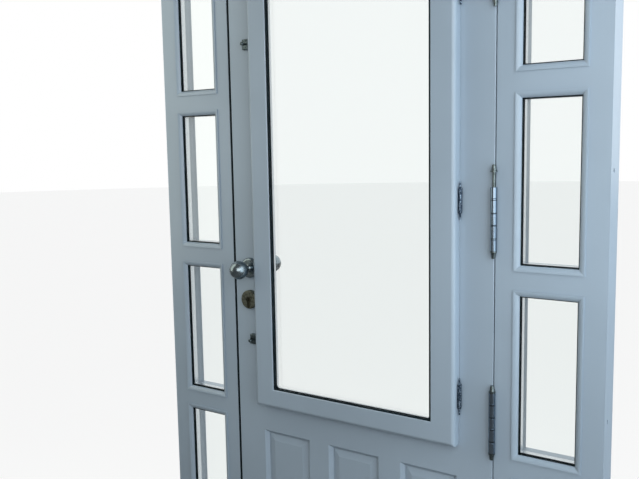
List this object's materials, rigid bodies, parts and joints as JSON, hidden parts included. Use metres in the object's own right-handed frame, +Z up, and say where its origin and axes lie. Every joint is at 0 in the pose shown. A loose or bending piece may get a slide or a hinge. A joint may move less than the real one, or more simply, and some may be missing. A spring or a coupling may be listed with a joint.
{
  "type": "french door with sidelights",
  "caption": "Inward-opening panelled door leaf with an opening glazed casement, between fixed glazed sidelights in one timber frame.",
  "frame": {"origin": "underside of the sill, on the middle line of the doorway between the mullions, in the plane of the room face of frame and leaf", "axes": "+X to the right as seen from the room, towards the hinges of the leaf; +Y outdoors, away from the room; +Z up"},
  "size_m": [1.318, 0.211, 2.1],
  "materials": {
    "painted_wood": "smooth satin paint, pale blue-grey white, brushed on timber",
    "glass": "clear float glass in sealed units",
    "rubber": "matte black glazing gasket and seal",
    "spacer_bar": "mill-finished spacer bar with sealant",
    "hinge_steel": "bright zinc-plated steel, slightly dulled",
    "dark_iron": "dark bronzed iron, satin",
    "chrome": "polished chrome plate",
    "aged_bronze": "dark aged bronze, patchy",
    "lock_brass": "dull machined brass",
    "lock_steel": "plain steel, satin"
  },
  "bodies": {
    "frame": {"frame_hinge_plates": "hinge_steel", "frame_screws": "lock_steel", "frame_seal": "rubber", "head_rail": "painted_wood", "hinge_pins": "hinge_steel", "left_beads": "painted_wood", "left_bottom_rail": "painted_wood", "left_glass": "glass", "left_glazing_bars": "painted_wood", "left_jamb": "painted_wood", "left_mullion": "painted_wood", "left_top_rail": "painted_wood", "right_beads": "painted_wood", "right_bottom_rail": "painted_wood", "right_glass": "glass", "right_glazing_bars": "painted_wood", "right_jamb": "painted_wood", "right_mullion": "painted_wood", "right_top_rail": "painted_wood", "sidelight_gaskets": "rubber", "sidelight_spacers": "spacer_bar", "strike_plate": "lock_steel", "threshold": "painted_wood"},
    "leaf": {"lock_stile": "painted_wood", "hinge_stile": "painted_wood", "leaf_top_rail": "painted_wood", "leaf_lock_rail": "painted_wood", "leaf_bottom_rail": "painted_wood", "leaf_muntins": "painted_wood", "left_panel": "painted_wood", "centre_panel": "painted_wood", "right_panel": "painted_wood", "leaf_hinge_plates": "hinge_steel", "leaf_screws": "lock_steel", "lock_case": "lock_steel", "knob_roses": "chrome", "escutcheons": "aged_bronze", "lock_cylinder": "lock_brass", "catch_cases": "dark_iron", "catch_screws": "dark_iron", "fixed_sash_hinges": "dark_iron", "sash_hinge_pins": "dark_iron"},
    "sash": {"sash_lock_stile": "painted_wood", "sash_hinge_stile": "painted_wood", "sash_top_rail": "painted_wood", "sash_bottom_rail": "painted_wood", "sash_beads": "painted_wood", "sash_glass": "glass", "sash_spacer": "spacer_bar", "sash_gasket": "rubber", "sash_hinge_plates": "dark_iron", "catch_keepers": "dark_iron"},
    "knob": {"inner_knob": "chrome", "outer_knob": "chrome", "knob_spindle": "lock_steel"},
    "latch": {"latch_bolt": "lock_steel"},
    "deadlock": {"deadbolt": "lock_steel"},
    "key_plug": {"cylinder_plug": "lock_brass"},
    "upper_catch": {"upper_catch_bolt": "dark_iron"},
    "lower_catch": {"lower_catch_bolt": "dark_iron"}
  },
  "joints": [
    {"name": "leaf_swing", "type": "hinge", "parent": "frame", "child": "leaf", "pos_m": [0.401, -0.00835, 0], "axis": [0, 0, 1], "range_deg": [0, 95]},
    {"name": "sash_swing", "type": "hinge", "parent": "leaf", "child": "sash", "pos_m": [0.31825, -0.011, 0], "axis": [0, 0, 1], "range_deg": [0, 88]},
    {"name": "knob_turn", "type": "hinge", "parent": "leaf", "child": "knob", "pos_m": [-0.34, 0, 1.05], "axis": [0, 1, 0], "range_deg": [0, 60], "stiffness_Nm_per_rad": 0.4, "springref_deg": -17.19},
    {"name": "latch_slide", "type": "slide", "parent": "leaf", "child": "latch", "axis": [1, 0, 0], "range_m": [0, 0.013]},
    {"name": "key_turn", "type": "hinge", "parent": "leaf", "child": "key_plug", "pos_m": [-0.34, 0, 0.958], "axis": [0, 1, 0], "range_deg": [0, 360]},
    {"name": "deadbolt_slide", "type": "slide", "parent": "leaf", "child": "deadlock", "axis": [-1, 0, 0], "range_m": [0, 0.02]},
    {"name": "upper_catch_slide", "type": "slide", "parent": "leaf", "child": "upper_catch", "axis": [-1, 0, 0], "range_m": [0, 0.0075], "stiffness_N_per_m": 300, "springref_m": -0.006},
    {"name": "lower_catch_slide", "type": "slide", "parent": "leaf", "child": "lower_catch", "axis": [-1, 0, 0], "range_m": [0, 0.0075], "stiffness_N_per_m": 300, "springref_m": -0.006}
  ],
  "couplings": [
    {"joint": "latch_slide", "follows": "knob_turn", "m_per_rad": 0.0124},
    {"joint": "key_turn", "follows": "deadbolt_slide", "rad_per_m": 314}
  ]
}
